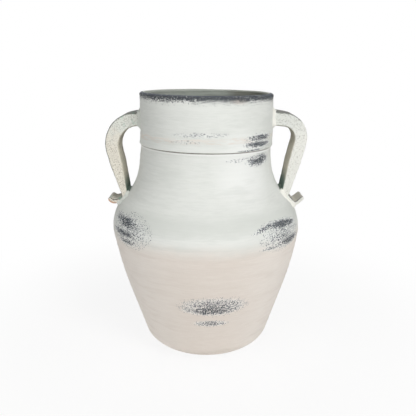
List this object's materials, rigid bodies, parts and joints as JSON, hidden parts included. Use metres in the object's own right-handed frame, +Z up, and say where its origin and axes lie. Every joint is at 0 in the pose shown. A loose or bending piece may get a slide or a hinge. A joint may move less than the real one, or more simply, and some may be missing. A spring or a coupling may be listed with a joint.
{
  "type": "two-handled ceramic vase",
  "caption": "Whitewashed earthenware jar with a shouldered body, a straight collar and pulled strap handles that end in flicked tails.",
  "frame": {"origin": "centre of the flat foot, on the surface that the jar stands on", "axes": "+Z up along the axis of the jar, +X towards the right-hand handle, -Y towards the viewer"},
  "size_m": [0.2634, 0.2532, 0.3511],
  "materials": {
    "lower_body": "matt pinkish beige limewash over earthenware",
    "upper_body": "matt grey-green white limewash",
    "collar": "matt grey-green white limewash, lip worn to dark slip",
    "strap": "matt cream wash, grainy",
    "luting": "matt cream clay roll"
  },
  "bodies": {
    "root": {"lower_body": "lower_body", "upper_body": "upper_body", "collar": "collar", "left_handle": "strap", "right_handle": "strap", "left_upper_luting": "luting", "left_lower_luting": "luting", "right_upper_luting": "luting", "right_lower_luting": "luting"}
  },
  "joints": []
}
